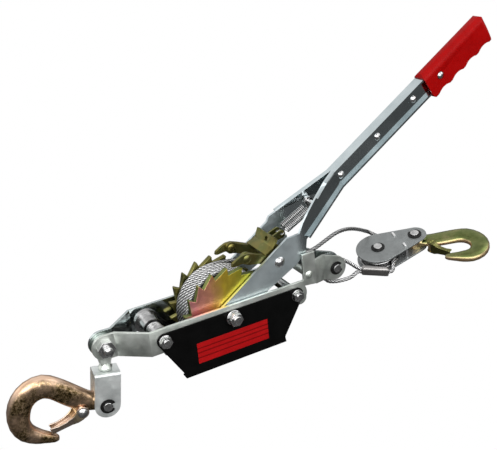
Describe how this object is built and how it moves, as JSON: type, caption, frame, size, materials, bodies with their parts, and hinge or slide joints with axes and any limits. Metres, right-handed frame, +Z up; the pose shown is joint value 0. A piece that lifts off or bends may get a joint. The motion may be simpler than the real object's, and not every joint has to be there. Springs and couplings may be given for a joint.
{
  "type": "come along winch",
  "caption": "Hand lever cable puller: ratchet drum between side straps, forked lever handle, anchor hook on a swivel and a pulley block with a load hook on doubled steel cable.",
  "frame": {"origin": "middle of the drum axle, halfway between the side straps", "axes": "+X along the frame from the anchor hook towards the load hook, +Y along the axle away from the label's side, +Z up"},
  "size_m": [0.6272, 0.1304, 0.3533],
  "materials": {
    "zinc": "bright zinc plated steel",
    "yellow_zinc": "yellow chromated steel",
    "bronze_zinc": "chromated drop forging",
    "black_sheet": "semi-gloss black",
    "black_clip": "blackened spring steel",
    "red_label": "glossy film, bare",
    "red_grip": "moulded, slight texture",
    "rope_steel": "stranded galvanised wire",
    "grey_steel": "matt zinc",
    "steel": "bare steel"
  },
  "bodies": {
    "frame": {"near_strap": "zinc", "far_strap": "zinc", "near_cover": "black_sheet", "far_cover": "black_sheet", "label_plate": "red_label", "axle_bolt": "zinc", "axle_nut": "zinc", "axle_washers": "zinc", "cover_bolts": "zinc", "cover_nuts": "zinc", "pawl_spacer": "steel", "strap_spacer": "steel", "guide_rod": "zinc", "strap_bolt": "zinc", "strap_nut": "zinc", "eye_pin": "zinc", "eye_pin_clips": "black_clip", "pawl_torsion_spring": "steel", "rope_eye": "rope_steel", "ferrule": "grey_steel", "rope_lead": "rope_steel", "rope_tail": "rope_steel"},
    "drum": {"drum_core": "steel", "near_ratchet": "yellow_zinc", "far_ratchet": "yellow_zinc", "drum_bush": "steel", "rope_winding": "rope_steel"},
    "stop_pawl": {"stop_pawl": "steel"},
    "handle": {"near_handle_half": "zinc", "far_handle_half": "zinc", "handle_rivets": "zinc", "grip": "red_grip", "grip_screw": "zinc", "pawl_bolt": "zinc", "pawl_nut": "zinc", "spring_bolt": "zinc", "spring_nut": "zinc"},
    "drive_pawl": {"drive_pawl": "yellow_zinc", "pawl_rivets": "yellow_zinc", "pawl_springs": "steel"},
    "swivel_eye": {"swivel_eye": "zinc", "swivel_nut": "zinc"},
    "clevis": {"clevis": "zinc", "clevis_pin": "zinc", "clevis_clips": "black_clip"},
    "anchor_hook": {"anchor_hook": "bronze_zinc", "anchor_latch_rivet": "zinc"},
    "anchor_latch": {"anchor_latch": "yellow_zinc"},
    "block": {"upper_block_plate": "grey_steel", "lower_block_plate": "grey_steel", "block_spacers": "grey_steel", "sheave_pin": "zinc", "hook_pin": "zinc", "block_clips": "black_clip", "rope_bight": "rope_steel"},
    "sheave": {"sheave": "steel", "sheave_bush": "yellow_zinc"},
    "load_hook": {"load_hook": "yellow_zinc", "load_latch_rivet": "zinc"},
    "load_latch": {"load_latch": "yellow_zinc"}
  },
  "joints": [
    {"name": "handle_swing", "type": "hinge", "parent": "frame", "child": "handle", "pos_m": [0, 0, 0], "axis": [0, 1, 0], "range_deg": [-80, 2]},
    {"name": "drum_turn", "type": "hinge", "parent": "frame", "child": "drum", "pos_m": [0, 0, 0], "axis": [0, 1, 0], "range_deg": [0, 1800]},
    {"name": "block_travel", "type": "slide", "parent": "frame", "child": "block", "axis": [1, 0, 0], "range_m": [0, 0.71], "deforming": ["rope_lead", "rope_tail"]},
    {"name": "sheave_spin", "type": "hinge", "parent": "block", "child": "sheave", "pos_m": [0.217, 0, -0.0021], "axis": [-0.2112, -0.1472, 0.9663], "continuous": true},
    {"name": "load_hook_turn", "type": "hinge", "parent": "block", "child": "load_hook", "pos_m": [0.26332, -0.01215, 0.00617], "axis": [-0.2112, -0.1472, 0.9663], "range_deg": [-48, 110]},
    {"name": "load_latch_swing", "type": "hinge", "parent": "load_hook", "child": "load_latch", "pos_m": [0.2702, -0.03372, 0.00439], "axis": [-0.2112, -0.1472, 0.9663], "range_deg": [0, 40], "stiffness_Nm_per_rad": 0.05, "springref_deg": -28.65},
    {"name": "drive_pawl_swing", "type": "hinge", "parent": "handle", "child": "drive_pawl", "pos_m": [0.065, 0, 0.043], "axis": [0, 1, 0], "range_deg": [-4, 30], "stiffness_Nm_per_rad": 0.6, "springref_deg": -28.65, "deforming": ["pawl_springs"]},
    {"name": "stop_pawl_swing", "type": "hinge", "parent": "frame", "child": "stop_pawl", "pos_m": [-0.08, 0, 0], "axis": [0, 1, 0], "range_deg": [-10, 25], "stiffness_Nm_per_rad": 0.15, "springref_deg": -45.84, "deforming": ["pawl_torsion_spring"]},
    {"name": "eye_swing", "type": "hinge", "parent": "frame", "child": "swivel_eye", "pos_m": [-0.136, 0, 0.0005], "axis": [0, 1, 0], "range_deg": [-15, 90]},
    {"name": "clevis_swivel", "type": "hinge", "parent": "swivel_eye", "child": "clevis", "pos_m": [-0.136, 0, 0.0005], "axis": [0.0732, 0, 0.9973], "range_deg": [-100, 100]},
    {"name": "anchor_hook_swing", "type": "hinge", "parent": "clevis", "child": "anchor_hook", "pos_m": [-0.14413, 0.00034, -0.06534], "axis": [0.1042, 0.9945, -0.0077], "range_deg": [-110, 30]},
    {"name": "anchor_latch_swing", "type": "hinge", "parent": "anchor_hook", "child": "anchor_latch", "pos_m": [-0.17042, 0.0031, -0.06593], "axis": [0.1042, 0.9945, -0.0077], "range_deg": [0, 40], "stiffness_Nm_per_rad": 0.08, "springref_deg": -28.65}
  ],
  "couplings": [
    {"joint": "block_travel", "follows": "drum_turn", "m_per_rad": 0.0225}
  ]
}
